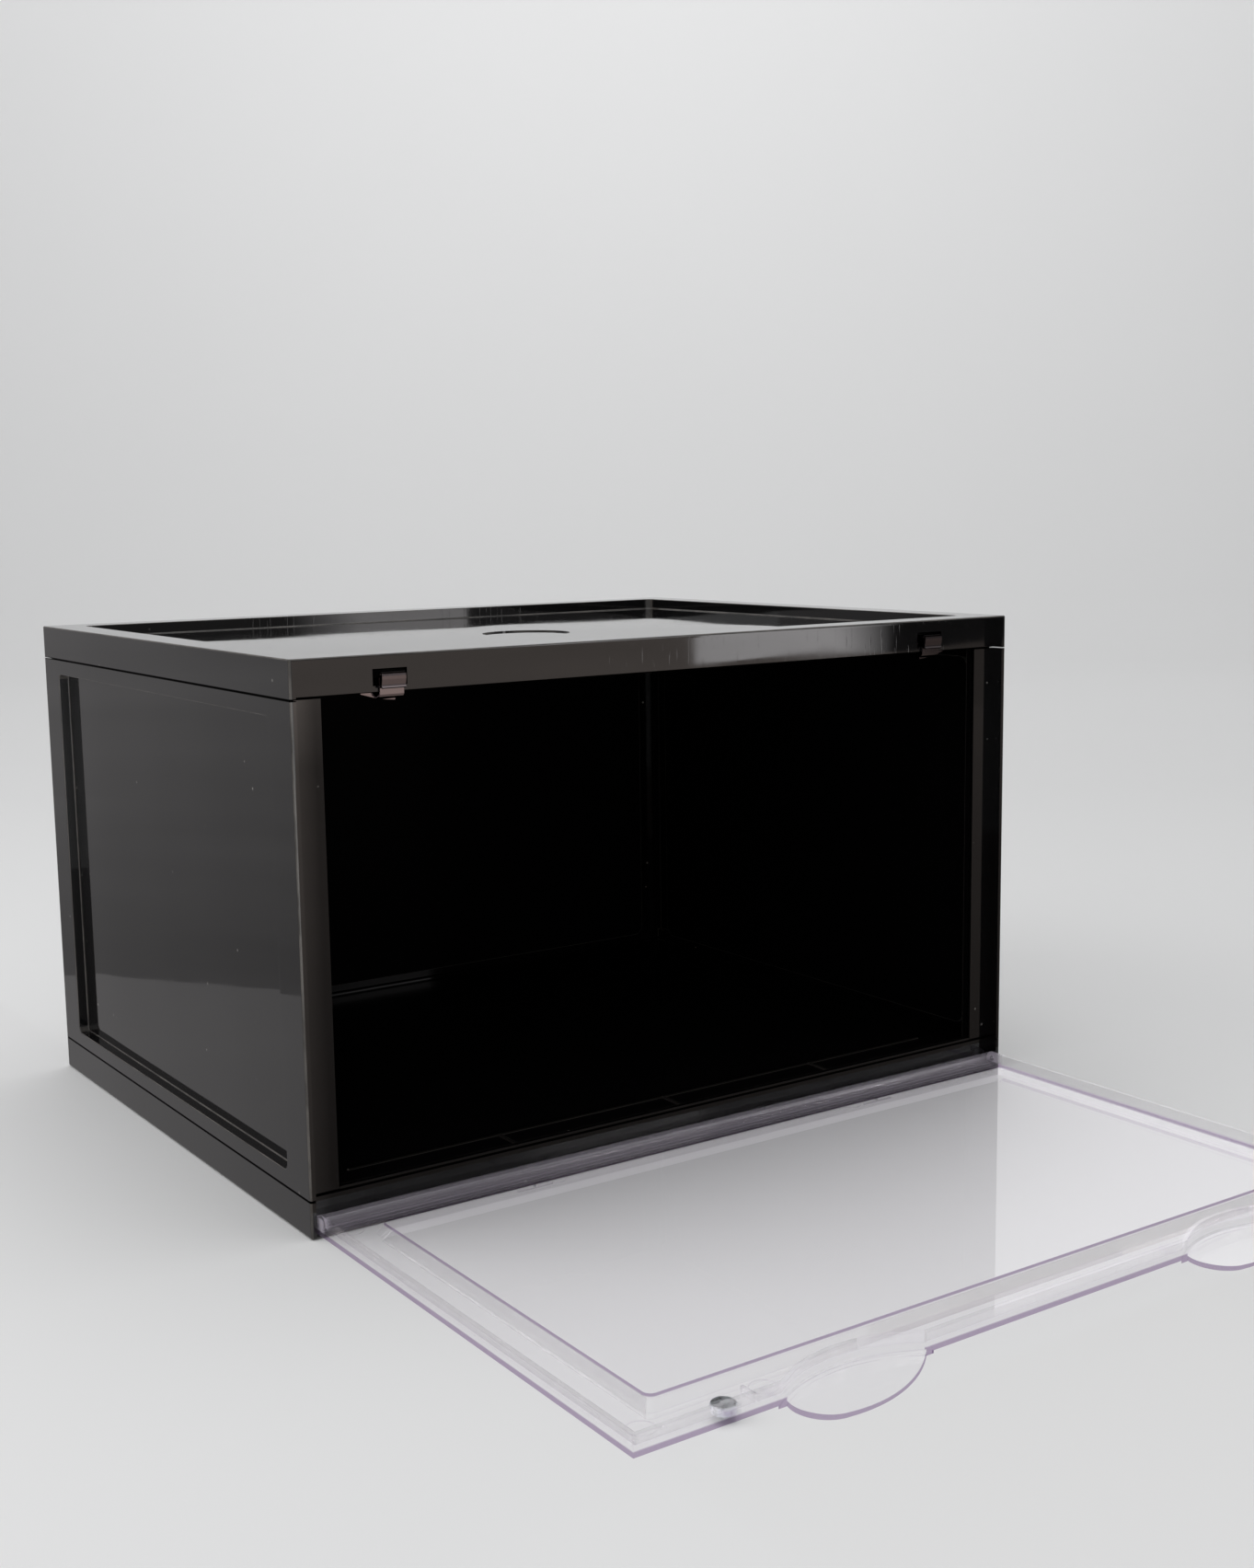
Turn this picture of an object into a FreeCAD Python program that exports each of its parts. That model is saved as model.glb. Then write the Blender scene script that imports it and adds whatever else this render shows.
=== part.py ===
import FreeCAD, Part
import math
import os

# Drop-front shoe box: black moulded panels and a clear door that hinges at its bottom edge.
# Millimetres. X to the right, Y to the back, Z up. The origin is the middle of the base's
# underside. The door is drawn open, lying in front of the box.

WIDTH = 360.0
DEPTH = 280.0
HEIGHT = 217.0
BASE_H = 14.7            # height of the seam between the base and the walls
LID_BOTTOM = 202.1       # height of the seam between the walls and the lid
SEAM = 0.4               # gap of each seam
SKIN = 2.3               # wall thickness of the black mouldings
CORNER_R = 1.0           # rounding of the upright corners
EDGE_R = 0.7             # rounding of the lid's top edge and the base's bottom edge

RECESS = 5.6             # how far the front is set back, so that the door nests in it
TOP_LIP = 1.4            # thickness of the lid's lip above the door
BOTTOM_LIP = 1.0         # thickness of the base's lip under the door
STILE_W = 14.5           # width of the upright beside the opening
STILE_RETURN = 2.7       # depth of the upright's inner edge
SILL_TOP = 16.2
FLOOR_TOP = 13.5
FLOOR_T = 2.0

FIELD_DEPTH = 4.7        # recessed field of the side and back panels
FIELD_INSET = 20.0       # its distance from the panel's upright edges
FIELD_Z0 = 21.5
FIELD_Z1 = 195.0
FIELD_R = 3.0
FIELD_EDGE_R = 0.4       # rounding of every recessed field's rim
FIELD_FLOOR_R = 0.6      # and of the corner between its walls and floor
LID_RIM = 15.0
LID_FIELD_DEPTH = 5.4
LID_FIELD_T = 2.0
DIMPLE_R = 20.5          # shallow round dimple in the lid's field
DIMPLE_Y = -8.0
DIMPLE_DEPTH = 0.6

HINGE_Y = 2.0            # from the front plane
HINGE_Z = 4.8
BAR_R = 3.3
PIN_R = 1.2
PIN_CLEARANCE = 0.05
PIN_HOLE_FLOOR = 0.8     # material left outside the pin's blind hole
DOOR_GAP = 0.8           # between the door's end and the corner bead
DOOR_L = 207.5           # from the hinge axis to the far edge
DOOR_Z0 = 1.4
PLATE_T = 2.8
RIM_T = 1.8
RIM_TOP = 8.3
RAISED_TOP = 9.5         # top of the door's raised middle
RAISED_SHEET = 2.6
EJECTOR_R = 5.0

TAB_X = 92.0             # of each finger tab, from the middle
TAB_HALF = 28.75
TAB_SCOOP = 9.0          # how far the scoop cuts into the door's edge
TAB_REACH = 16.0         # how far the tab stands out beyond it
TAB_LOW_Y = 7.5          # the dish's lowest point, beyond the edge
TAB_T = 1.2              # its thickness there
TAB_CAP_H = 3.5          # height of the tab's outline block, which starts 1 mm below Z = 0
TAB_UNDER = 0.4          # underside of the wall round the scoop

MAGNET_X = 140.0
MAGNET_R = 4.1
MAGNET_T = 2.8
MAGNET_Z = 2.3

CLIP_X = 136.8
CLIP_W = 10.0
CLIP_T = 0.7
SLOT_W = 14.4
SLOT_X = 137.0

HALF = WIDTH / 2
FRONT = -DEPTH / 2
BACK = DEPTH / 2
X_AXIS = FreeCAD.Vector(1, 0, 0)
Y_AXIS = FreeCAD.Vector(0, 1, 0)
Z_AXIS = FreeCAD.Vector(0, 0, 1)


def box(x0, x1, y0, y1, z0, z1):
    return Part.makeBox(x1 - x0, y1 - y0, z1 - z0, FreeCAD.Vector(x0, y0, z0))


def rounded(shape, radius, axis):
    """Round a plain block's four edges that run along axis."""
    edges = [e for e in shape.Edges if abs(abs(e.tangentAt(e.FirstParameter).dot(axis)) - 1) < 1e-6]
    return shape.makeFillet(radius, edges)


def edges_on(shape, axis, value):
    """The edges that lie in one plane across the X, Y or Z axis."""
    found = []
    for edge in shape.Edges:
        bounds = edge.BoundBox
        if all(abs(getattr(bounds, axis + end) - value) < 1e-6 for end in ("Min", "Max")):
            found.append(edge)
    return found


def mirrored(shape):
    return shape.mirror(FreeCAD.Vector(0, 0, 0), X_AXIS)


def disc(x, y, z, radius, height):
    return Part.makeCylinder(radius, height, FreeCAD.Vector(x, y, z))


def fused(shapes):
    return shapes[0].fuse(shapes[1:]).removeSplitter()


def sink_field(shape, well, axis, surface, floor, radius):
    """Cut a recessed field: round corners, a soft inner corner and a slightly rounded rim."""
    direction_of_axis = {"X": X_AXIS, "Y": Y_AXIS, "Z": Z_AXIS}[axis]
    well = rounded(well, radius, direction_of_axis)
    well = well.makeFillet(FIELD_FLOOR_R, edges_on(well, axis, floor))
    cut = shape.cut(well)
    reach = well.BoundBox
    rim = [e for e in edges_on(cut, axis, surface) if reach.isInside(e.BoundBox)]
    return cut.makeFillet(FIELD_EDGE_R, rim)


def outer_block(z0, z1, rounded_z):
    """The box's outline between two heights, with its upright corners and one rim rounded."""
    block = rounded(box(-HALF, HALF, FRONT, BACK, z0, z1), CORNER_R, Z_AXIS)
    return block.makeFillet(EDGE_R, edges_on(block, "Z", rounded_z))


def make_base():
    in_x = HALF - SKIN
    wall_back = FRONT + RECESS + SKIN
    z_skirt = BASE_H - SEAM / 2
    pocket = box(-in_x, in_x, FRONT - 1, FRONT + RECESS, BOTTOM_LIP, BASE_H + 5)
    under = box(-in_x, in_x, wall_back, BACK - SKIN, -1, FLOOR_TOP - FLOOR_T)
    above = box(-in_x, in_x, wall_back, BACK - SKIN, FLOOR_TOP, BASE_H + 5)
    shell = outer_block(0, z_skirt, 0).cut([pocket, under, above])
    front = [
        box(-in_x, in_x, FRONT + RECESS, wall_back, BOTTOM_LIP, BASE_H + 0.3),
        box(-HALF + STILE_W + 0.3, HALF - STILE_W - 0.3, FRONT + RECESS, wall_back, BOTTOM_LIP, SILL_TOP),
    ]
    ribs = []
    for i in range(-3, 4):
        ribs.append(box(i * 45 - 1, i * 45 + 1, wall_back - 0.5, BACK - SKIN + 0.5, 0, FLOOR_TOP - 1))
    for j in range(-2, 3):
        ribs.append(box(-in_x - 0.5, in_x + 0.5, j * 45 + 3, j * 45 + 5, 0, FLOOR_TOP - 1))
    pad = [disc(0, 0, 0, 12, FLOOR_TOP - 1)]
    base = fused([shell] + front + ribs + pad + floor_beads())
    return base.cut(pin_holes())


def floor_beads():
    """Thin raised lines on the floor, one along the mouth and three running to the sill."""
    bead_y = FRONT + 27
    rail = rounded(box(-152, 152, bead_y - 0.8, bead_y + 0.8, FLOOR_TOP - 0.5, FLOOR_TOP + 0.8), 0.75, Z_AXIS)
    cross = [
        box(x - 0.6, x + 0.6, FRONT + RECESS + 1, bead_y, FLOOR_TOP - 0.5, FLOOR_TOP + 0.6)
        for x in (-83, 0, 83)
    ]
    return [rail] + cross


def pin_holes():
    centre = FreeCAD.Vector(-HALF + PIN_HOLE_FLOOR, FRONT + HINGE_Y, HINGE_Z)
    left = Part.makeCylinder(PIN_R + PIN_CLEARANCE, SKIN, centre, X_AXIS)
    return [left, mirrored(left)]


def make_lid():
    in_x = HALF - SKIN
    z0 = LID_BOTTOM + SEAM / 2
    rim_under = HEIGHT - SKIN
    field_top = HEIGHT - LID_FIELD_DEPTH
    wall_back = FRONT + RECESS + SKIN
    edge = LID_RIM - SKIN
    hollow = box(-in_x, in_x, wall_back, BACK - SKIN, z0 - 1, rim_under)
    pocket = box(-in_x, in_x, FRONT - 1, FRONT + RECESS, z0 - 1, HEIGHT - TOP_LIP)
    shell = outer_block(z0, HEIGHT, HEIGHT).cut([hollow, pocket])
    pan = rounded(box(-HALF + edge, HALF - edge, FRONT + edge, BACK - edge,
                      field_top - LID_FIELD_T, rim_under + 0.5), 6, Z_AXIS)
    rim = LID_RIM
    well = box(-HALF + rim, HALF - rim, FRONT + rim, BACK - rim, field_top, HEIGHT + 1)
    dimple = disc(0, DIMPLE_Y, field_top - DIMPLE_DEPTH, DIMPLE_R, 2)
    slots = [
        box(x - SLOT_W / 2, x + SLOT_W / 2, FRONT + RECESS - 0.5, wall_back + 0.5,
            LID_BOTTOM + 2.6, LID_BOTTOM + 9)
        for x in (-SLOT_X, SLOT_X)
    ]
    lid = sink_field(fused([shell, pan]), well, "Z", HEIGHT, field_top, 4)
    return lid.cut([dimple] + slots)


def make_side():
    """The left wall: outer skin, recessed field, front upright and the hidden tongues."""
    x0 = -HALF
    x1 = x0 + SKIN
    z0 = BASE_H + SEAM / 2
    z1 = LID_BOTTOM - SEAM / 2
    y_front = FRONT + RECESS
    skin = box(x0, x1, FRONT, BACK, z0, z1)
    corners = [e for e in skin.Edges
               if abs(e.CenterOfMass.x - x0) < 1e-6 and abs(e.tangentAt(0).z) > 0.9]
    skin = skin.makeFillet(CORNER_R, corners)
    pan = rounded(box(x0 + 1, x0 + FIELD_DEPTH + SKIN, FRONT + FIELD_INSET - SKIN, BACK - FIELD_INSET + SKIN,
                      FIELD_Z0 - SKIN, FIELD_Z1 + SKIN), FIELD_R + SKIN, X_AXIS)
    well = box(x0 - 1, x0 + FIELD_DEPTH, FRONT + FIELD_INSET, BACK - FIELD_INSET, FIELD_Z0, FIELD_Z1)
    wall = sink_field(fused([skin, pan]), well, "X", x0, x0 + FIELD_DEPTH, FIELD_R)
    upright = [
        box(x1 - 0.5, x0 + STILE_W, y_front, y_front + SKIN, z0 + 0.5, z1),
        box(x0 + STILE_W - SKIN, x0 + STILE_W, y_front, y_front + SKIN + STILE_RETURN, z0 + 0.5, z1),
        box(x1, x0 + 12, y_front + SKIN, y_front + 2 * SKIN, FLOOR_TOP, z0 + 6),
        box(x1, x0 + 12, y_front + SKIN, y_front + 2 * SKIN, z1 - 6, z1 + 2.6),
    ]
    flange = box(x1 - 0.5, x0 + 8, BACK - 2 * SKIN - 0.2, BACK - SKIN - 0.1, z0, z1)
    strip = (x1, x1 + SKIN, y_front + 2 * SKIN - 0.5, BACK - 2 * SKIN - 0.2)
    low = box(*strip, FLOOR_TOP, z0 + 5)
    high = box(*strip, z1 - 5, z1 + 2.6)
    tabs = [box(x1, x1 + SKIN, y - 15, y + 15, z1, HEIGHT - SKIN) for y in (-85, 0, 85)]
    return fused([wall, flange, low, high] + upright + tabs)


def make_back():
    z0 = BASE_H + SEAM / 2
    z1 = LID_BOTTOM - SEAM / 2
    in_x = HALF - SKIN - SEAM
    y1 = BACK - SKIN - 0.1
    skin = box(-in_x, in_x, y1, BACK, z0, z1)
    pan = rounded(box(-HALF + FIELD_INSET - SKIN, HALF - FIELD_INSET + SKIN, BACK - FIELD_DEPTH - SKIN, y1 + 0.5,
                      FIELD_Z0 - SKIN, FIELD_Z1 + SKIN), FIELD_R + SKIN, Y_AXIS)
    well = box(-HALF + FIELD_INSET, HALF - FIELD_INSET, BACK - FIELD_DEPTH, BACK + 1, FIELD_Z0, FIELD_Z1)
    wall = sink_field(fused([skin, pan]), well, "Y", BACK, BACK - FIELD_DEPTH, FIELD_R)
    strip = (-HALF + 8.2, HALF - 8.2, y1 - SKIN, y1)
    low = box(*strip, FLOOR_TOP, z0 + 5)
    high = box(*strip, z1 - 5, z1 + 2.6)
    tabs = [box(x - 15, x + 15, y1 - SKIN, y1, z1, HEIGHT - SKIN) for x in (-120, 0, 120)]
    return fused([wall, low, high] + tabs)


def arc_radius(half, mid_y, tip_y):
    """Radius of the arc through both tips and a middle point."""
    sag = abs(mid_y - tip_y)
    return (half * half + sag * sag) / (2 * sag)


def tab_pieces(x, far):
    """The scoop cut from the door's edge, the wall round it, and the dished finger tab."""
    scoop_r = arc_radius(TAB_HALF, far + TAB_SCOOP, far)
    scoop_y = far + TAB_SCOOP - scoop_r
    scoop = disc(x, scoop_y, -5, scoop_r, 30)
    ring = disc(x, scoop_y, TAB_UNDER, scoop_r + RIM_T, RIM_TOP - TAB_UNDER).cut(scoop)
    wall = ring.common(box(x - TAB_HALF - 4, x + TAB_HALF + 4, far, far + 30, 0, 20))
    dish = Part.makeSphere(600, FreeCAD.Vector(x, far - TAB_LOW_Y, 600))
    hollow = Part.makeSphere(300, FreeCAD.Vector(x, far - TAB_LOW_Y, 300 + TAB_T))
    leaf = tab_outline(x, far, scoop_y, scoop_r).common(dish).cut(hollow)
    return scoop, wall, leaf


def tab_outline(x, far, scoop_y, scoop_r):
    """The tab seen from above: full at its left end and tapering to its right tip."""
    at = [
        (-TAB_HALF, 0), (-TAB_HALF + 2.0, -0.75 * TAB_REACH), (-18, -TAB_REACH),
        (5, -0.85 * TAB_REACH), (TAB_HALF, 0),
    ]
    p = [FreeCAD.Vector(x + dx, far + dy, -1) for dx, dy in at]
    top = FreeCAD.Vector(x, scoop_y + scoop_r, -1)
    edges = [Part.Arc(p[0], p[1], p[2]), Part.Arc(p[2], p[3], p[4]), Part.Arc(p[4], top, p[0])]
    return Part.Face(Part.Wire([e.toShape() for e in edges])).extrude(Z_AXIS * TAB_CAP_H)


def raised_wire(inset, near, z, radius):
    """Outline of the door's raised middle at one height, as a rounded rectangle."""
    x = HALF - 17.8 - inset
    y0 = FRONT - 191.5 + inset
    y1 = FRONT - near
    block = rounded(box(-x, x, y0, y1, z, z + 1), radius, Z_AXIS)
    low = [e for e in block.Edges if e.BoundBox.ZMax < z + 1e-6]
    return Part.Wire(Part.__sortEdges__(low))


def make_door():
    half = HALF - SKIN - DOOR_GAP
    axis_y = FRONT + HINGE_Y
    far = axis_y - DOOR_L
    plate_top = DOOR_Z0 + PLATE_T
    plate = box(-half, half, far, axis_y, DOOR_Z0, plate_top)
    rims = [
        box(-half, -half + RIM_T, far, axis_y, DOOR_Z0, RIM_TOP),
        box(half - RIM_T, half, far, axis_y, DOOR_Z0, RIM_TOP),
        box(-half, half, far, far + RIM_T, DOOR_Z0, RIM_TOP),
    ]
    bar = Part.makeCylinder(BAR_R, 2 * half, FreeCAD.Vector(-half, axis_y, HINGE_Z), X_AXIS)
    pin_x = HALF - PIN_HOLE_FLOOR - 0.2
    pin = Part.makeCylinder(PIN_R, 2 * pin_x, FreeCAD.Vector(-pin_x, axis_y, HINGE_Z), X_AXIS)
    raised = Part.makeLoft([raised_wire(0, 15.5, plate_top - 0.01, 3),
                            raised_wire(1.5, 20.0, RAISED_TOP, 3)], True, True)
    recess = Part.makeLoft([raised_wire(1.6, 17.5, DOOR_Z0 - 0.01, 2),
                            raised_wire(3.2, 23.0, RAISED_TOP - RAISED_SHEET, 2)], True, True)
    body = fused([plate] + rims + [raised])
    walls = []
    for x in (-TAB_X, TAB_X):
        scoop, wall, leaf = tab_pieces(x, far)
        body = body.cut(scoop)
        walls += [wall, leaf]
    body = fused([body] + walls + door_ribs(far, plate_top) + [bar, pin])
    return body.cut([recess] + door_marks(far, plate_top))


def door_ribs(far, plate_top):
    ribs = []
    for side in (-1, 1):
        x = side * 90
        ribs.append(box(x - 0.6, x + 0.6, FRONT - 12.5, FRONT - 5.5, plate_top - 0.5, plate_top + 1.2))
        ribs.append(box(x - 8, x + 8, FRONT - 13.1, FRONT - 12.3, plate_top - 0.5, plate_top + 0.5))
        tick = side * (MAGNET_X - 9.2)
        ribs.append(box(tick - 0.5, tick + 0.5, far + 1, far + 9, plate_top - 0.5, plate_top + 2.4))
    return ribs


def door_marks(far, plate_top):
    """Shallow ejector marks and the two magnet pockets."""
    cuts = []
    for side in (-1, 1):
        for x, y in ((78, FRONT - 8.4), (168, FRONT - 9), (168, far + 9), (123, far + 8.2)):
            cuts.append(disc(side * x, y, plate_top - 0.25, EJECTOR_R - 0.4, 1))
        pocket = disc(side * MAGNET_X, far + 6, MAGNET_Z, MAGNET_R + 0.05, 5)
        cuts.append(pocket)
    return cuts


def make_magnet(side):
    far = FRONT + HINGE_Y - DOOR_L
    magnet = disc(side * MAGNET_X, far + 6, MAGNET_Z, MAGNET_R, MAGNET_T)
    return magnet.makeChamfer(0.25, edges_on(magnet, "Z", MAGNET_Z + MAGNET_T))


def make_clip():
    """The left catch clip: a spring strip bent round the lower edge of the lid's front wall,
    with a wider tapered leg behind it."""
    path = [(8.7, 207.5), (8.7, 200.2), (8.2, 199.8), (5.5, 200.9), (4.95, 201.6), (4.95, 208.5)]
    for i in range(1, 6):
        turn = math.radians(i * 30)
        path.append((3.9 + 1.05 * math.cos(turn), 208.5 + 1.05 * math.sin(turn)))
    path += [(2.85, 208.4), (2.9, 207.2), (3.15, 206.0), (3.4, 205.2), (3.3, 204.6), (2.85, 203.9)]
    points = [FreeCAD.Vector(-CLIP_X - CLIP_W / 2, FRONT + y, z) for y, z in path]
    strip = Part.Face(offset_strip(points, CLIP_T / 2)).extrude(FreeCAD.Vector(CLIP_W, 0, 0))
    leg_y = FRONT + 8.7 - CLIP_T / 2
    corners = [(-148.0, 207.5), (-148.0, 201.7), (-140.3, 199.5), (-133.8, 198.9), (-132.3, 201.6), (-132.3, 207.5)]
    leg = Part.Face(Part.makePolygon([FreeCAD.Vector(x, leg_y, z) for x, z in corners + corners[:1]]))
    return fused([strip, leg.extrude(Y_AXIS * CLIP_T)])


def offset_strip(points, half):
    """Closed outline of a bent strip, from its middle line and half its thickness."""
    sides = []
    for sign in (1, -1):
        line = []
        for i, point in enumerate(points):
            before = direction(points[i - 1], point) if i else direction(point, points[i + 1])
            after = direction(point, points[i + 1]) if i + 1 < len(points) else before
            n0 = normal(before)
            n1 = normal(after)
            mitre = (n0 + n1).multiply(1 / (1 + n0.dot(n1)))
            line.append(point + mitre * (sign * half))
        sides.append(line)
    loop = sides[0] + sides[1][::-1]
    return Part.makePolygon(loop + [loop[0]])


def direction(a, b):
    return (b - a).normalize()


def normal(d):
    return FreeCAD.Vector(0, -d.z, d.y)


side_left = make_side()
clip_left = make_clip()
parts = {
    "base_panel": make_base(),
    "lid_panel": make_lid(),
    "side_panel_left": side_left,
    "side_panel_right": mirrored(side_left),
    "back_panel": make_back(),
    "door_panel": make_door(),
    "catch_clip_left": clip_left,
    "catch_clip_right": mirrored(clip_left),
    "magnet_left": make_magnet(-1),
    "magnet_right": make_magnet(1),
}

os.makedirs("parts", exist_ok=True)
for name, shape in parts.items():
    solid = shape.Solids[0] if len(shape.Solids) == 1 else shape
    solid.exportStep("parts/" + name + ".step")
    bounds = solid.BoundBox
    print(name, len(shape.Solids), solid.isValid(), round(solid.Volume / 1000, 1), "cm3",
          [round(v, 2) for v in (bounds.XMin, bounds.XMax, bounds.YMin, bounds.YMax, bounds.ZMin, bounds.ZMax)])
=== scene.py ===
import bpy
import math
from mathutils import Matrix, Vector


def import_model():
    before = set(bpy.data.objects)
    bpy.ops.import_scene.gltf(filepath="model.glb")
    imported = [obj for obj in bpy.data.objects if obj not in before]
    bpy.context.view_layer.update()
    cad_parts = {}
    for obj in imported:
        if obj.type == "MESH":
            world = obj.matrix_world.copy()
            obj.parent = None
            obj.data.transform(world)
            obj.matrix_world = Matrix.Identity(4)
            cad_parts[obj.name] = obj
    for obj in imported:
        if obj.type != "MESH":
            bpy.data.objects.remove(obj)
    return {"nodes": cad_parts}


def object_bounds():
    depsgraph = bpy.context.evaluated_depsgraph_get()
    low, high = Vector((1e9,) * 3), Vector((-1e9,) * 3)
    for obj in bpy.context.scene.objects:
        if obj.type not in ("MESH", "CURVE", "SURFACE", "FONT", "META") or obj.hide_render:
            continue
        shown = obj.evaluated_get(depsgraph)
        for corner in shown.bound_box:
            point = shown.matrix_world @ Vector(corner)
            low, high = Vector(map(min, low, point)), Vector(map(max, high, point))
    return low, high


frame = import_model()
cad_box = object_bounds()
nodes = frame["nodes"]
scene = bpy.context.scene

BLACK_PIECES = ["base_panel", "side_panel_left", "side_panel_right", "back_panel", "lid_panel"]

# ---------------------------------------------------------------- places on the box, in metres

HALF_WIDTH, BACK, TOP = (round(v, 4) for v in cad_box[1])
FRONT = -BACK

SEAMS = (0.0147, TOP - 0.0149)    # heights of the base's and the lid's joint with the walls
SEAM_REACH = 0.0005               # the shadow line, either side of the joint
LID_UNDERSIDE = TOP - 0.0151
CREASE_REACH = 0.0006             # how far the painted highlight line along an inside corner spreads
INNER_SIDE = HALF_WIDTH - 0.0055  # just behind the side walls' inner faces
INNER_Z = (0.0133, TOP - 0.0065)
CAVITY = ((-INNER_SIDE, INNER_SIDE), (FRONT + 0.0078, BACK - 0.0054), INNER_Z)
BACK_CORNERS = ((INNER_SIDE, HALF_WIDTH - 0.0015), (BACK - 0.0115, BACK - 0.0035), INNER_Z)

RIM_FADE_Z = (0.02, 0.16)         # the front rim's painted reflection changes between these heights
RIM_FADE_X = (0.0005 - HALF_WIDTH, 0.012 - HALF_WIDTH)    # and from the outer corner inward

DOOR_SIDE = HALF_WIDTH - 0.00315  # the door's cut edges lie outside these two
DOOR_END = FRONT - 0.20515
CUT_EDGE_TOP = (0.003, 0.0036)
DOOR_BROW = (0.0084, 0.0088)      # where the raised middle's slanting edge begins
DOOR_LINE_REACH = 0.0004
HINGE_BAR = (FRONT - 0.0055, FRONT - 0.002)    # the painted highlight fades in between these, toward the bar

FLOOR_FADE_Y = (-0.3, 0.9)
BACKDROP_FADE_Z = (0.1, 1.5)

# ---------------------------------------------------------------- colours

BLACK_PIGMENT = (0.0022, 0.002, 0.0022, 1)
DUST = (0.3, 0.29, 0.27, 1)
# colour of the rubbed edges: partly wear, partly a painted highlight
RUBBED_AND_HIGHLIT = (0.11, 0.1, 0.09, 1)
SEAM_SHADOW = (0.0005, 0.0005, 0.0005, 1)
BLACK_IOR = 1.59

CLEAR_WALL = (0.985, 0.978, 0.988, 1)
CLEAR_PANE = (0.992, 0.99, 0.993, 1)
CLEAR_TO_LIGHT = (0.997, 0.996, 0.998, 1)
# pale colour of the painted highlight on the hinge bar
BAR_HIGHLIGHT = (0.72, 0.66, 0.76, 1)
CUT_EDGE = (0.46, 0.36, 0.52, 1)
DEPTH_TINT = (0.4, 0.2, 0.5, 1)
DEPTH_GLOW = (0.95, 0.87, 1.0, 1)
CLEAR_IOR = 1.55

STEEL = (0.26, 0.22, 0.225)
NICKEL = (0.85, 0.88, 0.92)

CARD_BROWN = (1.0, 0.87, 0.8, 1)
CARD_GREY = (1.0, 0.97, 0.98, 1)
SKY = (0.985, 0.99, 1.0, 1)


class Graph:
    """Short-hand for building a node material. The short methods return a socket."""

    def __init__(self, name):
        self.mat = bpy.data.materials.new(name)
        self.mat.use_nodes = True
        self.tree = self.mat.node_tree
        self.tree.nodes.clear()

    def add(self, kind, inputs=None, **props):
        """One node, its inputs set or linked."""
        node = self.tree.nodes.new(kind)
        for key, value in props.items():
            setattr(node, key, value)
        for key, value in (inputs or {}).items():
            socket = node.inputs[key]
            if isinstance(value, bpy.types.NodeSocket):
                self.tree.links.new(value, socket)
            else:
                socket.default_value = value
        return node

    def coordinates(self, kind="Object"):
        return self.add("ShaderNodeTexCoord").outputs[kind]

    def geometry(self, kind):
        return self.add("ShaderNodeNewGeometry").outputs[kind]

    def split(self, vector):
        """The X, Y and Z of a vector."""
        return self.add("ShaderNodeSeparateXYZ", {0: vector}).outputs

    def math(self, operation, *values):
        return self.add("ShaderNodeMath", dict(enumerate(values)), operation=operation).outputs[0]

    def within(self, value, low, high):
        """1 where value lies from low to high, 0 elsewhere."""
        return self.math("COMPARE", value, (low + high) / 2, (high - low) / 2)

    def ramp(self, value, start, end, low=0.0, high=1.0):
        """From low to high while value goes from start to end, and level beyond."""
        return self.add("ShaderNodeMapRange", {"Value": value, "From Min": start, "From Max": end,
                                               "To Min": low, "To Max": high}).outputs[0]

    def choose(self, mask, off, on):
        """off where mask is 0, on where it is 1."""
        return self.ramp(mask, 0.0, 1.0, off, on)

    def stretch(self, vector, scale, turn=(0.0, 0.0, 0.0)):
        return self.add("ShaderNodeMapping", {"Vector": vector, "Rotation": turn, "Scale": scale}).outputs[0]

    def noise(self, vector, scale, detail=2.0, roughness=0.5):
        return self.add("ShaderNodeTexNoise", {"Vector": vector, "Scale": scale, "Detail": detail,
                                               "Roughness": roughness}).outputs["Fac"]

    def bump(self, height, strength, distance, **on_top_of):
        return self.add("ShaderNodeBump", {"Height": height, "Strength": strength, "Distance": distance,
                                           **on_top_of}).outputs[0]

    def tint(self, amount, under, over):
        """Blend of two colours."""
        return self.add("ShaderNodeMix", {"Factor": amount, "A": under, "B": over},
                        data_type="RGBA").outputs["Result"]

    def see_through(self, color):
        return self.add("ShaderNodeBsdfTransparent", {"Color": color}).outputs[0]

    def cover(self, amount, under, over):
        """Blend of two shaders."""
        return self.add("ShaderNodeMixShader", {0: amount, 1: under, 2: over}).outputs[0]

    def both(self, one, other):
        """Sum of two shaders."""
        return self.add("ShaderNodeAddShader", {0: one, 1: other}).outputs[0]

    def output(self, surface, volume=None):
        """Ends the graph and returns its material."""
        out = self.add("ShaderNodeOutputMaterial", {"Surface": surface})
        if volume:
            self.tree.links.new(volume, out.inputs["Volume"])
        return self.mat


def edge_turn(g, radius):
    """1 along the edges, where the averaged normal leaves the face's own."""
    soft = g.add("ShaderNodeBevel", {"Radius": radius}, samples=6).outputs[0]
    turn = g.add("ShaderNodeVectorMath", {0: soft, 1: g.geometry("Normal")}, operation="DOT_PRODUCT")
    return g.ramp(turn.outputs["Value"], 0.995, 0.88)


# ---------------------------------------------------------------- black plastic

def relief(g, place):
    """The panels' slow warp, with hair scratches on top."""
    warp = g.noise(g.stretch(place, (3.0, 3.0, 1.2)), 3.0, detail=1.0, roughness=0.4)
    wave = g.bump(warp, 0.5, 0.0016)
    scratch = g.noise(g.stretch(place, (1400.0, 60.0, 60.0), turn=(0.4, 0.3, 0.2)), 1.0)
    hair = g.ramp(scratch, 0.66, 0.74)
    return g.bump(hair, 0.05, 0.0001, Normal=wave)


def smears(g, place):
    """Roughness of the polished faces."""
    return g.ramp(g.noise(place, 14.0, detail=5.0, roughness=0.6), 0.35, 0.75, 0.015, 0.085)


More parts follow.
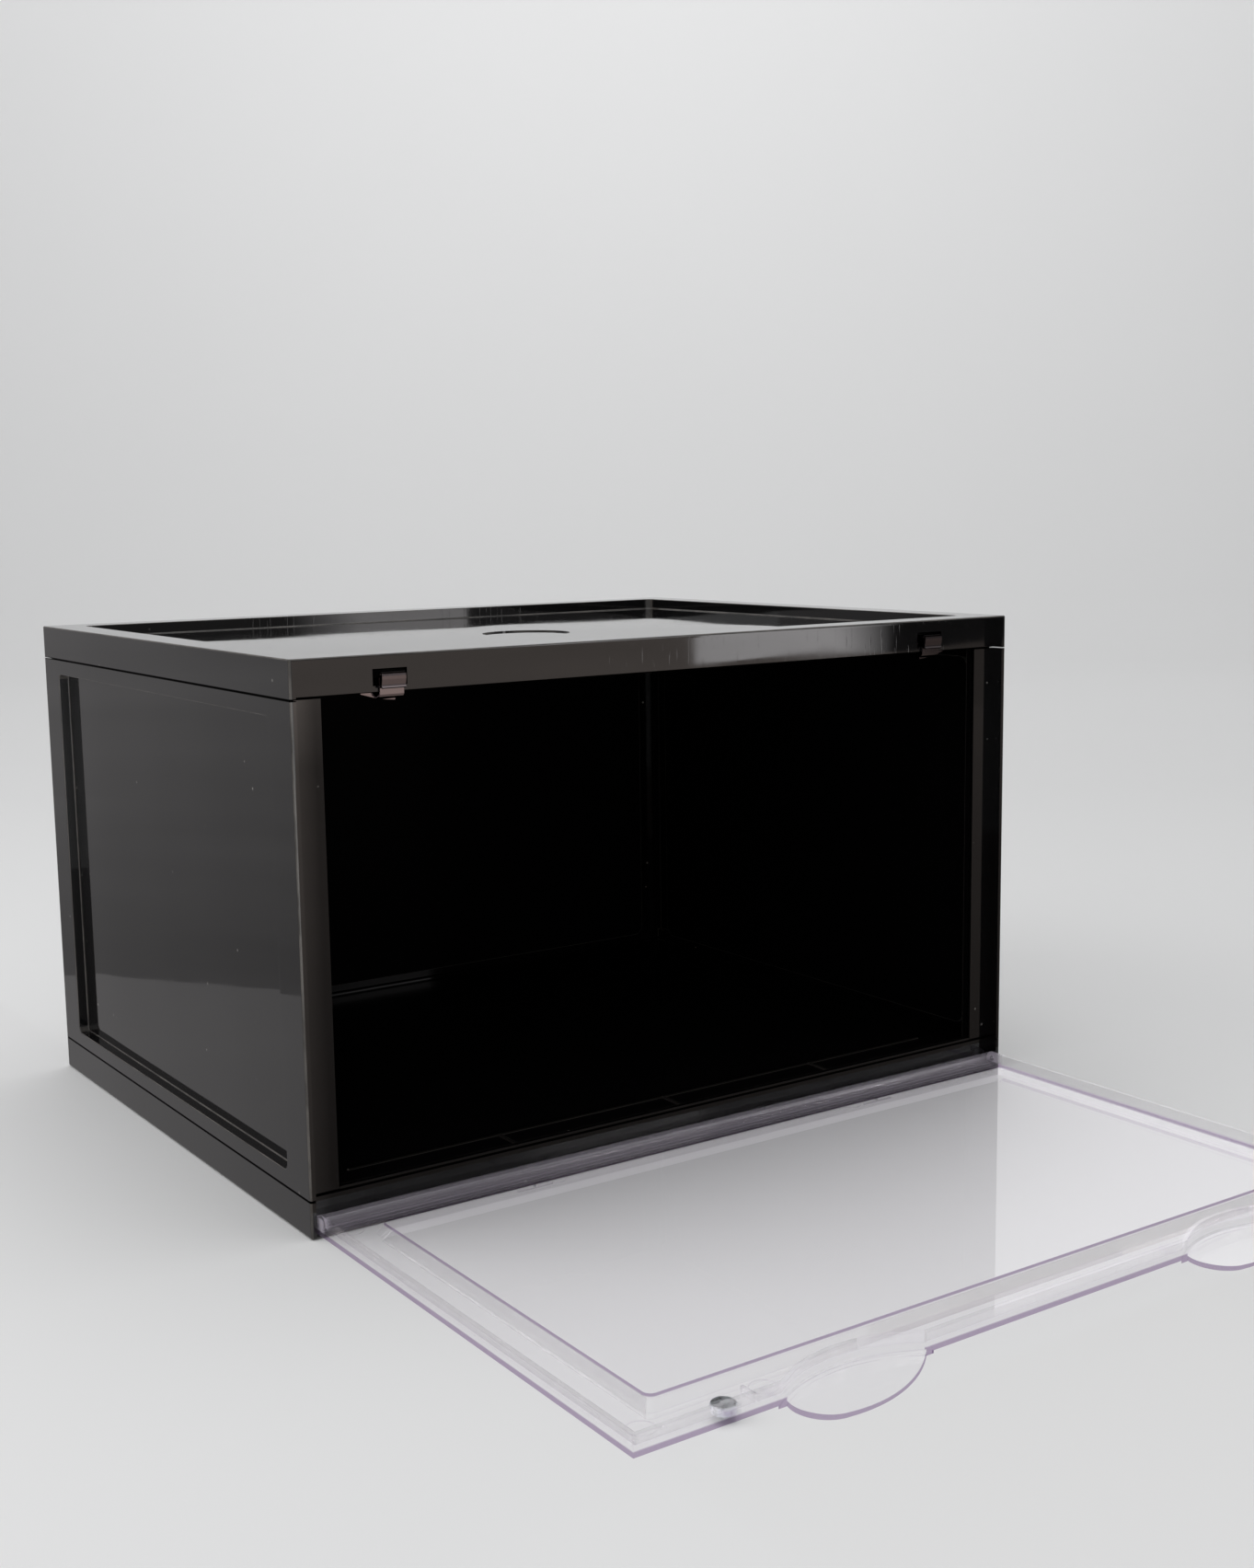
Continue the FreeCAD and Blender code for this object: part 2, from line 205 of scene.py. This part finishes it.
def dust_specks(g, place):
    """1 on a few scattered specks."""
    cells = g.add("ShaderNodeTexVoronoi", {"Vector": place, "Scale": 120.0})
    speck = g.ramp(cells.outputs["Distance"], 0.05, 0.09, 1.0, 0.0)
    few = g.ramp(g.noise(place, 45.0), 0.54, 0.62)
    return g.math("MULTIPLY", speck, few)


def edge_wear_and_highlight(g, place):
    """How rubbed and highlit the surface is: up to 1 on the rounded edges, which face no axis, broken up by
    noise. The lighter colour it drives is partly wear and partly a painted highlight.
    """
    size = g.add("ShaderNodeVectorMath", {0: g.geometry("True Normal")}, operation="ABSOLUTE").outputs[0]
    part = g.split(size)
    most = g.math("MAXIMUM", g.math("MAXIMUM", part["X"], part["Y"]), part["Z"])
    edge = g.ramp(most, 0.995, 0.93)
    broken = g.ramp(g.noise(place, 55.0, detail=6.0, roughness=0.65), 0.35, 0.62, 0.3, 1.0)
    return g.math("MULTIPLY", edge, broken)


def seam_mask(g, place):
    """1 in the shadow line where the lid and the base meet the walls."""
    height = g.split(place)["Z"]
    lines = [g.math("COMPARE", height, seam, SEAM_REACH) for seam in SEAMS]
    return g.math("MAXIMUM", *lines)


def painted_rim_reflection(g, place):
    """Gloss of the front rim below the lid, a painted reflection: dulled toward the sill and away from the
    outer corner, which is painted shade, and strongest at the outer corner, a painted highlight.
    """
    at = g.split(place)
    front = g.math("LESS_THAN", g.split(g.geometry("True Normal"))["Y"], -0.7)
    under = g.math("LESS_THAN", at["Z"], LID_UNDERSIDE)
    rise = g.ramp(at["Z"], *RIM_FADE_Z, 0.6, 1.15)
    across = g.ramp(at["X"], *RIM_FADE_X, 2.0, 0.7)
    return g.choose(g.math("MULTIPLY", front, under), 1.0, g.math("MULTIPLY", rise, across))


def box_mask(g, place, box):
    """1 inside a box given by its X, Y and Z spans, and in its mirror image to the left."""
    at = g.split(place)
    values = (g.math("ABSOLUTE", at["X"]), at["Y"], at["Z"])
    x, y, z = (g.within(value, *span) for value, span in zip(values, box))
    return g.math("MULTIPLY", g.math("MULTIPLY", x, y), z)


def cavity_mask(g, place):
    """1 on the satin faces inside the box and in its back corners, whose reflection is cut to a painted
    shade, 0 on the polished outside.
    """
    return g.math("MAXIMUM", box_mask(g, place, CAVITY), box_mask(g, place, BACK_CORNERS))


def black_plastic():
    """Glossy moulded black, satin inside with its reflection cut to a painted shade, with warp, smears,
    dust, edges lightened as scuffs and painted highlight, a painted reflection on the front rim, and
    shadowed seams.
    """
    g = Graph("black_shell")
    place = g.coordinates()
    inside = cavity_mask(g, place)
    seam = seam_mask(g, place)
    # painted highlight: the edges inside the box are lightened
    crease_highlights = g.math("MULTIPLY", edge_turn(g, CREASE_REACH), inside)
    worn_and_highlit = g.math("MULTIPLY_ADD", crease_highlights, 0.45, edge_wear_and_highlight(g, place))
    dusty = g.math("MULTIPLY", dust_specks(g, place), g.choose(inside, 0.6, 0.0))
    color = g.tint(dusty, BLACK_PIGMENT, DUST)
    # lightened edges: partly rubbed wear, partly a painted highlight
    color = g.tint(worn_and_highlit, color, RUBBED_AND_HIGHLIT)
    color = g.tint(seam, color, SEAM_SHADOW)
    rough = g.math("MULTIPLY_ADD", worn_and_highlit, 0.2, smears(g, place))
    rough = g.math("MULTIPLY_ADD", inside, 0.12, rough)
    # painted shade: the reflection inside the box and on the seam lines is cut almost to nothing
    shine = g.choose(g.math("MAXIMUM", inside, seam), 0.5, 0.012)
    # painted reflection: the front rim's gloss is scaled by height and by distance from the outer corner
    gloss = g.math("MULTIPLY", shine, painted_rim_reflection(g, place))
    shader = g.add("ShaderNodeBsdfPrincipled", {
        "Base Color": color, "Roughness": rough, "IOR": BLACK_IOR, "Specular IOR Level": gloss,
        "Normal": relief(g, place)})
    return g.output(shader.outputs[0])


# ---------------------------------------------------------------- clear plastic

def cut_edges(g, place, level):
    """1 on the upright outer edges of the door's sheet."""
    at = g.split(place)
    side = g.math("GREATER_THAN", g.math("ABSOLUTE", at["X"]), DOOR_SIDE)
    end = g.math("LESS_THAN", at["Y"], DOOR_END)
    outer = g.math("MAXIMUM", side, end)
    low = g.ramp(at["Z"], *CUT_EDGE_TOP, 1.0, 0.0)
    upright = g.math("LESS_THAN", level, 0.3)
    return g.math("MULTIPLY", g.math("MULTIPLY", outer, low), upright)


def brow(g, place, level):
    """1 on the slanting top edge of the door's raised middle."""
    high = g.ramp(g.split(place)["Z"], *DOOR_BROW)
    return g.math("MULTIPLY", high, g.within(level, 0.05, 0.95))


def colored_lines(g, place, level, edge):
    """How violet the door is: deep at its cut edges and on the brow, faint along every edge."""
    bands = g.math("MAXIMUM", cut_edges(g, place, level), brow(g, place, level))
    return g.math("MAXIMUM", g.math("MULTIPLY", edge, 0.22), g.math("MULTIPLY", bands, 0.85))


def painted_bar_highlight(g, place, facing, edge):
    """How much painted highlight the door gets, as a pale lit diffuse layer: a little at the hinge bar, more
    along the bar's edges and on its ends.
    """
    at_bar = g.ramp(g.split(place)["Y"], *HINGE_BAR)
    on_end = g.math("GREATER_THAN", g.math("ABSOLUTE", facing["X"]), 0.7)
    highlight_share = g.choose(g.math("MAXIMUM", edge, on_end), 0.11, 0.5)
    return g.math("MULTIPLY", at_bar, highlight_share)


def pane(g, rough, wave):
    """The level faces: they don't bend what lies behind them, and their front side reflects."""
    front = g.choose(g.geometry("Backfacing"), 1.0, 0.0)
    share = g.math("MULTIPLY", g.add("ShaderNodeFresnel", {"IOR": CLEAR_IOR}).outputs[0], front)
    mirror = g.add("ShaderNodeBsdfGlossy", {"Color": share, "Roughness": rough, "Normal": wave})
    return g.both(g.see_through(CLEAR_PANE), mirror.outputs[0])


def clear_plastic():
    """Clear styrene: colourless through the sheet, lavender where light runs along inside it, with a faint
    painted glow of its own in the volume.
    """
    g = Graph("clear_door")
    place = g.coordinates()
    facing = g.split(g.coordinates("Normal"))
    level = g.math("ABSOLUTE", facing["Z"])
    edge = edge_turn(g, DOOR_LINE_REACH)
    wave = g.bump(g.noise(place, 9.0, detail=1.0), 0.02, 0.0006)
    rough = g.ramp(g.noise(place, 40.0, detail=4.0), 0.5, 0.8, 0.0, 0.0015)
    clear = g.see_through(CLEAR_TO_LIGHT)
    glass = g.add("ShaderNodeBsdfGlass", {"Color": CLEAR_WALL, "Roughness": rough, "IOR": CLEAR_IOR,
                                          "Normal": wave})
    wall = g.cover(0.7, glass.outputs[0], clear)
    sheet = g.cover(g.ramp(level, 0.3, 0.7), wall, pane(g, rough, wave))
    # painted highlight: a pale diffuse layer lightens the hinge bar, its edges and its ends
    bar_highlight_shader = g.add("ShaderNodeBsdfDiffuse", {"Color": BAR_HIGHLIGHT})
    sheet = g.cover(painted_bar_highlight(g, place, facing, edge), sheet, bar_highlight_shader.outputs[0])
    sheet = g.cover(colored_lines(g, place, level, edge), sheet, g.see_through(CUT_EDGE))
    ray = g.add("ShaderNodeLightPath").outputs
    to_light = g.math("MAXIMUM", ray["Is Shadow Ray"], ray["Is Diffuse Ray"])
    surface = g.cover(to_light, sheet, clear)
    tint = g.add("ShaderNodeVolumeAbsorption", {"Color": DEPTH_TINT, "Density": 3.0})
    # painted glow: the door's volume gives off a faint lavender light of its own
    glow = g.add("ShaderNodeEmission", {"Color": DEPTH_GLOW, "Strength": 0.8})
    return g.output(surface, g.both(tint.outputs[0], glow.outputs[0]))


# ---------------------------------------------------------------- metal and floor

def metal(name, color, roughness, grain, right_shade=1.0):
    """Plated metal with a faint grain, its colour darkened toward the right by the given factor, a painted
    shade.
    """
    g = Graph(name)
    place = g.coordinates()
    streaks = g.noise(g.stretch(place, grain), 1.0, detail=4.0)
    rough = g.ramp(streaks, 0.3, 0.7, roughness * 0.7, roughness * 1.4)
    # painted shade: the colour darkens toward the right
    shade_to_right = g.ramp(g.split(place)["X"], -0.1, 0.1, 1.0, right_shade)
    tone = g.add("ShaderNodeVectorMath", {0: color, 1: shade_to_right}, operation="MULTIPLY")
    shader = g.add("ShaderNodeBsdfPrincipled", {"Base Color": tone.outputs[0], "Metallic": 1.0,
                                                "Roughness": rough})
    return g.output(shader.outputs[0])


def floor_material():
    """Matt pale grey, darker away from the camera as painted shade and lighter again up the backdrop as
    painted light.
    """
    g = Graph("studio_floor")
    place = g.coordinates()
    at = g.split(place)
    # painted shade away from the camera, painted light up the backdrop
    away = g.ramp(at["Y"], *FLOOR_FADE_Y, 0.805, 0.69)
    lift = g.ramp(at["Z"], *BACKDROP_FADE_Z, 0.0, 0.21)
    tone = g.math("MULTIPLY_ADD", g.noise(place, 1.2), 0.02, g.math("ADD", away, lift))
    color = g.add("ShaderNodeCombineColor", {"Red": tone, "Green": tone, "Blue": tone})
    shader = g.add("ShaderNodeBsdfPrincipled", {"Base Color": color.outputs[0], "Roughness": 0.55,
                                                "Specular IOR Level": 0.25})
    return g.output(shader.outputs[0])


def dress(obj, material):
    obj.data.materials.clear()
    obj.data.materials.append(material)


def dress_box():
    """Give every CAD piece its material."""
    black = black_plastic()
    clear = clear_plastic()
    steel = metal("clip_steel", STEEL, 0.1, (60, 60, 900), right_shade=0.3)
    nickel = metal("magnet_nickel", NICKEL, 0.32, (300, 300, 300))
    for name in BLACK_PIECES:
        dress(nodes[name], black)
    dress(nodes["door_panel"], clear)
    for side in ("left", "right"):
        dress(nodes["catch_clip_" + side], steel)
        dress(nodes["magnet_" + side], nickel)


# ---------------------------------------------------------------- stage

def sweep():
    """Floor that curves up into a backdrop behind the box."""
    y_bend = 2.2
    radius = 1.6
    reach = 6.0
    top = 7.0
    steps = 24
    profile = [(-reach, 0.0), (y_bend, 0.0)]
    for i in range(1, steps + 1):
        a = math.radians(i * 90 / steps)
        profile.append((y_bend + radius * math.sin(a), radius * (1 - math.cos(a))))
    profile.append((y_bend + radius, top))
    verts = [(x, y, z) for y, z in profile for x in (-reach, reach)]
    faces = [(2 * i, 2 * i + 1, 2 * i + 3, 2 * i + 2) for i in range(len(profile) - 1)]
    mesh = bpy.data.meshes.new("studio_sweep")
    mesh.from_pydata(verts, [], faces)
    for poly in mesh.polygons:
        poly.use_smooth = True
    obj = bpy.data.objects.new("studio_sweep", mesh)
    scene.collection.objects.link(obj)
    obj.rotation_euler = (0, 0, math.radians(-34.5))
    obj.location.z = -0.0002
    dress(obj, floor_material())


def area(name, place, target, size, power):
    """A rectangular light at place, aimed at target."""
    data = bpy.data.lights.new(name, "AREA")
    data.shape = "RECTANGLE"
    data.size, data.size_y = size
    data.energy = power
    obj = bpy.data.objects.new(name, data)
    obj.location = place
    aim = Vector(target) - Vector(place)
    obj.rotation_euler = aim.to_track_quat("-Z", "Y").to_euler()
    scene.collection.objects.link(obj)


def card_material(name, color, low, high, axis, reach, one_sided):
    """Streaky light that runs from low to high along one axis, over the share reach of the card."""
    g = Graph(name)
    streaks = g.noise(g.stretch(g.coordinates(), (3.0, 3.0, 40.0)), 1.0, detail=3.0)
    ramp = g.ramp(g.split(g.coordinates("Generated"))[axis], 0.0, reach, low, high)
    power = g.math("MULTIPLY", ramp, g.ramp(streaks, 0.0, 1.0, 0.85, 1.15))
    glow = g.add("ShaderNodeEmission", {"Color": color, "Strength": power}).outputs[0]
    if one_sided:
        glow = g.cover(g.geometry("Backfacing"), glow, g.see_through((1, 1, 1, 1)))
    return g.output(glow)


def card(name, corners, color, low, high, axis="Z", reach=1.0, one_sided=False):
    """A studio panel that only reflections see."""
    mesh = bpy.data.meshes.new(name)
    mesh.from_pydata(corners, [], [(0, 1, 2, 3)])
    obj = bpy.data.objects.new(name, mesh)
    scene.collection.objects.link(obj)
    obj.visible_camera = obj.visible_diffuse = obj.visible_transmission = False
    obj.visible_shadow = obj.visible_volume_scatter = False
    mesh.materials.append(card_material(name, color, low, high, axis, reach, one_sided))


def upright_card(name, a, b, z, *look, **more):
    """A card standing on the line from a to b, over the span z of heights."""
    z0, z1 = z
    card(name, [(*a, z0), (*b, z0), (*b, z1), (*a, z1)], *look, **more)


def level_card(name, x, y, z, *look, **more):
    """A card lying at the height z over the spans x and y."""
    (x0, x1), (y0, y1) = x, y
    card(name, [(x0, y0, z), (x1, y0, z), (x1, y1, z), (x0, y1, z)], *look, **more)


def reflections_left():
    """What the left side sees: a pale wall behind a slightly brighter floor."""
    near = (-0.74, -0.41)
    far = (-0.17, 0.42)
    lift = 0.0008
    upright_card("card_left", near, far, (0, 0.9), CARD_GREY, 0.22, 0.36, reach=0.2)
    corners = [(*near, lift), (far[0], near[1], lift), (far[0], 0.4, lift), (-0.175, 0.41, lift)]
    card("card_left_floor", corners, CARD_GREY, 0.37, 0.37)


def reflections_front():
    """What the front, the lid and the door see: a dim brown room with a softbox in it."""
    wall = -1.3
    left = 0.1
    right = 2.6
    low = (0, 0.085)
    middle = (0.085, 0.2)
    high = (0.2, 0.9)
    soft_start = 0.858
    soft_end = 1.1
    dark_start = 1.19
    high_fade = 0.58
    high_start = 0.68
    high_end = 0.86

    def front(name, x0, x1, *look, **more):
        upright_card(name, (x0, wall), (x1, wall), *look, **more)

    front("card_front_left_low", left, dark_start, low, CARD_BROWN, 0.35, 0.75)
    front("card_front_right_low", dark_start, right, low, CARD_BROWN, 0.3, 0.3)
    front("card_front_left", left, soft_start, middle, CARD_BROWN, 0.74, 0.76)
    front("softbox_front", soft_start, soft_end, middle, CARD_GREY, 3.6, 3.5)
    front("softbox_front_edge", soft_end, dark_start, middle, CARD_GREY, 3.6, 0.05, axis="X")
    front("card_front_right", dark_start, right, middle, CARD_GREY, 0.05, 0.05)
    front("card_high_left", left, high_fade, high, CARD_GREY, 0.2, 0.15)
    front("softbox_high_edge", high_fade, high_start, high, CARD_GREY, 0.2, 2.8, axis="X")
    front("softbox_high", high_start, high_end, high, CARD_GREY, 2.8, 2.8)
    front("card_high_right", high_end, right, high, CARD_GREY, 0.2, 0.2)
    level_card("card_front_floor", (-0.3, right), (wall, -0.36), 0.001, CARD_BROWN, 0.35, 0.3, axis="Y")
    level_card("card_over_door", (-0.19, 0.9), (-0.36, -0.1395), 0.0104, CARD_BROWN, 0.3, 0.3,
               one_sided=True)


def world():
    data = bpy.data.worlds.new("studio")
    data.use_nodes = True
    background = data.node_tree.nodes["Background"].inputs
    background["Color"].default_value = SKY
    background["Strength"].default_value = 0.6
    scene.world = data


def light_paths():
    """Enough bounces to look through the door's many faces."""
    scene.cycles.max_bounces = 24
    scene.cycles.transparent_max_bounces = 24
    scene.cycles.glossy_bounces = 20
    scene.cycles.transmission_bounces = 20


# ---------------------------------------------------------------- camera

def camera():
    """Camera at the view the box was drawn from; 36 mm sensor along the picture's long side."""
    azimuth, elevation, roll = (math.radians(v) for v in (34.476, 8.354, 0.835))
    place = (-0.45748, -0.75589, 0.26805)
    ahead = Vector((math.sin(azimuth) * math.cos(elevation), math.cos(azimuth) * math.cos(elevation),
                    -math.sin(elevation)))
    right = Vector((math.cos(azimuth), -math.sin(azimuth), 0))
    down = ahead.cross(right)
    right, down = (right * math.cos(roll) + down * math.sin(roll),
                   down * math.cos(roll) - right * math.sin(roll))
    data = bpy.data.cameras.new("camera")
    data.sensor_width = 36.0
    data.lens = 42.9
    data.clip_start = 0.01
    obj = bpy.data.objects.new("camera", data)
    turn = Matrix((right, -down, -ahead)).transposed().to_4x4()
    obj.matrix_world = Matrix.Translation(place) @ turn
    scene.collection.objects.link(obj)
    scene.camera = obj


dress_box()
sweep()
world()
reflections_left()
reflections_front()
area("key_top", (0.2, 0.3, 2.6), (0, -0.1, 0), (2.4, 2.4), 20)
area("side_left", (-1.3, 0.5, 1.0), (-0.3, -0.1, 0), (1.2, 1.2), 7)
area("back_wash", (0.9, 1.32, 2.7), (2.15, 3.13, 1.7), (2.4, 0.8), 20)
light_paths()
scene.view_settings.view_transform = "Standard"
camera()
